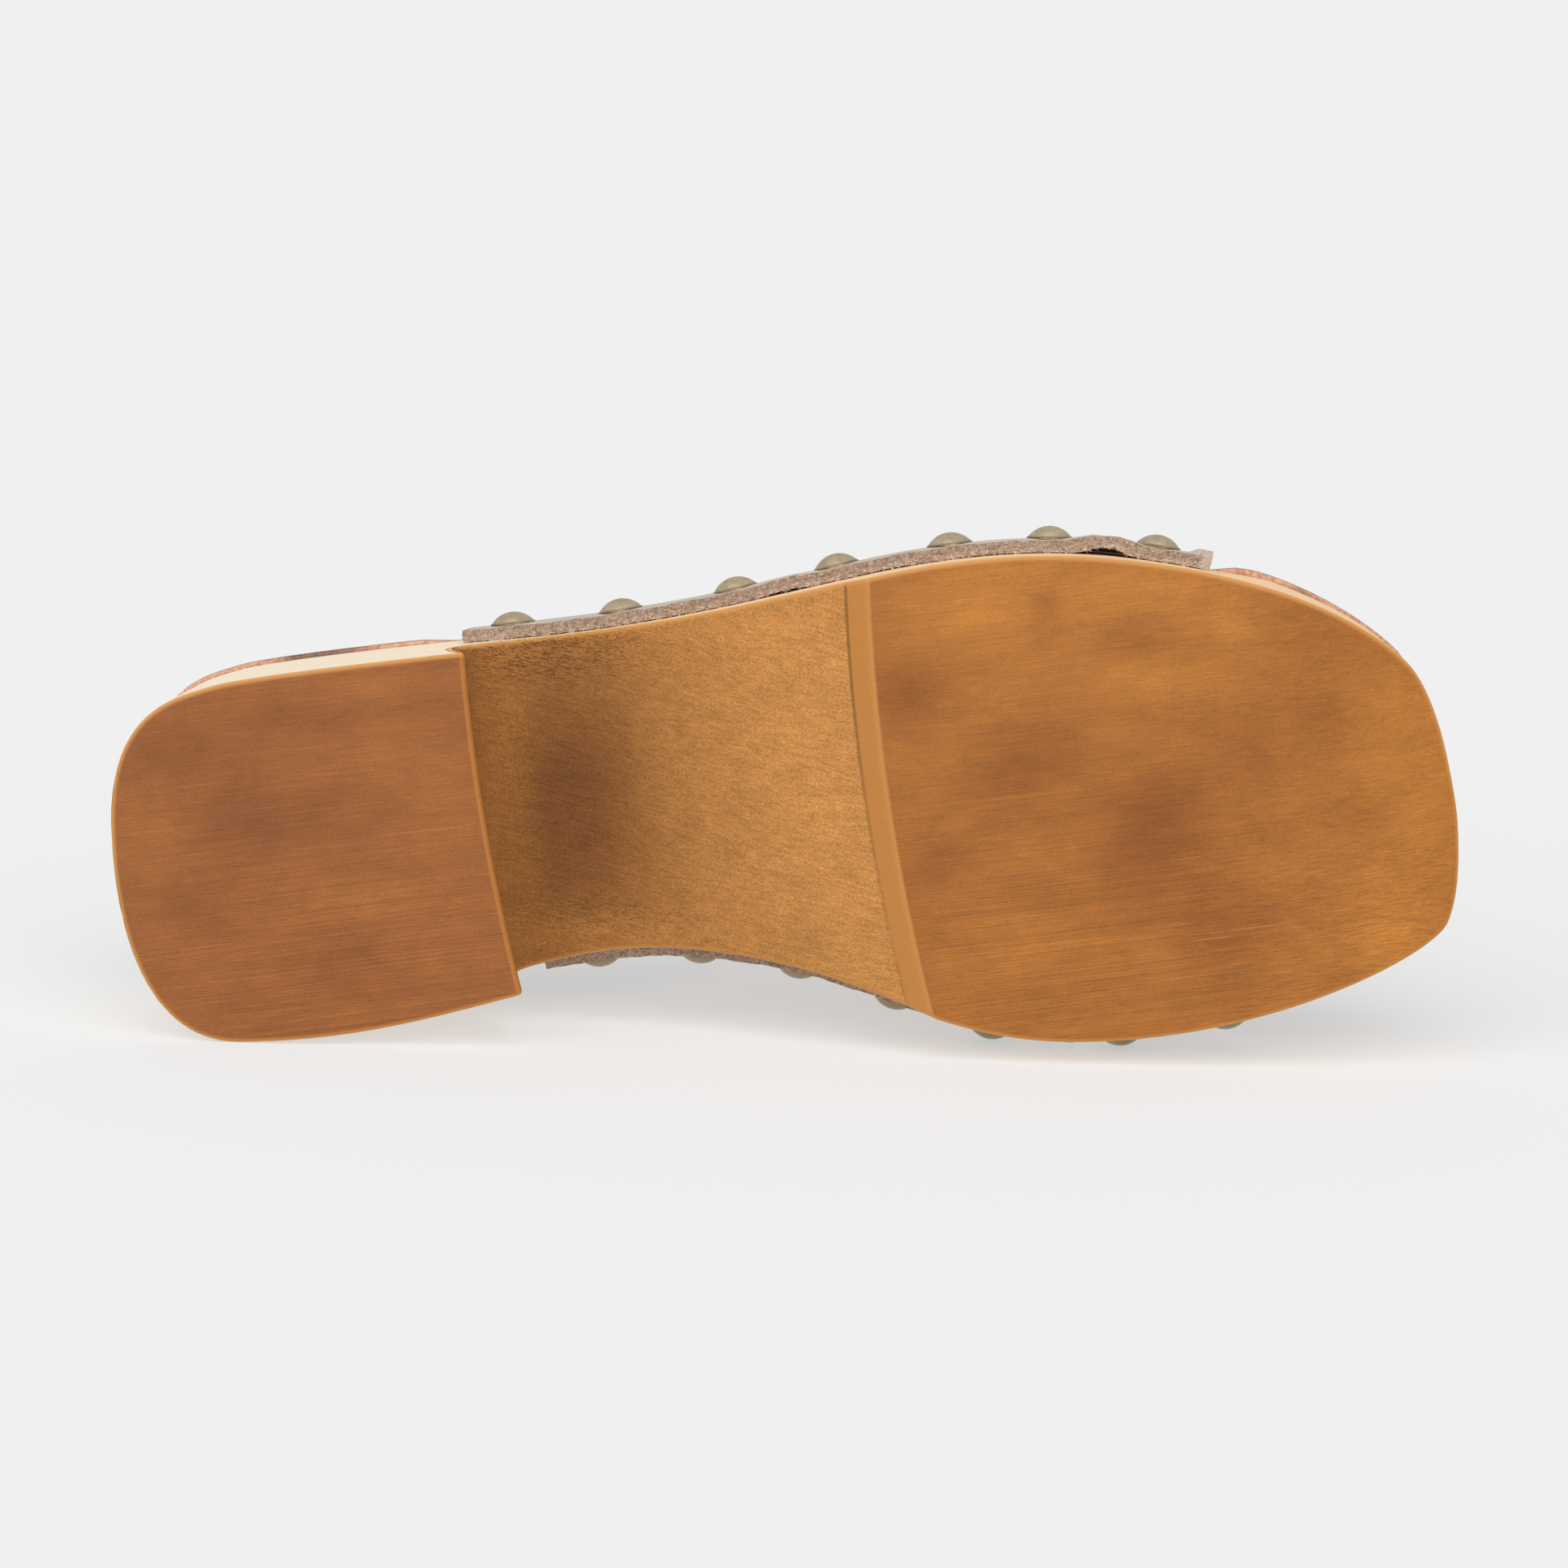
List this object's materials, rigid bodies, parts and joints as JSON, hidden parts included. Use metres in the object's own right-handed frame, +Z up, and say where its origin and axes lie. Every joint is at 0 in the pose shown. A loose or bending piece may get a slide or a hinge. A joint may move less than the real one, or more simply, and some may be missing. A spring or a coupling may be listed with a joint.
{
  "type": "wooden sole shoe",
  "caption": "Right open-toe wooden clog with block heel, scooped arch, stepped forefoot tread, leather insole and a leather upper held by domed nails along both sides; lies on its inner side.",
  "frame": {"origin": "bottom centre of the bounding box of the shoe lying on its inner side", "axes": "+X from heel to toe, -Y the way the tread faces, +Z up, toward the outer side of the shoe"},
  "size_m": [0.2496, 0.096, 0.0985],
  "materials": {
    "wood": "honey stain on the tread and arch, bare on the side walls, worn at the edges",
    "insole_leather": "reddish tan, matte",
    "upper_leather": "light taupe, with raw cut edges",
    "stud_metal": "antique, lightly dulled"
  },
  "bodies": {
    "root": {"wooden_sole": "wood", "insole": "insole_leather", "upper": "upper_leather", "stud_lateral_1": "stud_metal", "stud_lateral_2": "stud_metal", "stud_lateral_3": "stud_metal", "stud_lateral_4": "stud_metal", "stud_lateral_5": "stud_metal", "stud_lateral_6": "stud_metal", "stud_lateral_7": "stud_metal", "stud_medial_1": "stud_metal", "stud_medial_2": "stud_metal", "stud_medial_3": "stud_metal", "stud_medial_4": "stud_metal", "stud_medial_5": "stud_metal", "stud_medial_6": "stud_metal", "stud_medial_7": "stud_metal"}
  },
  "joints": []
}
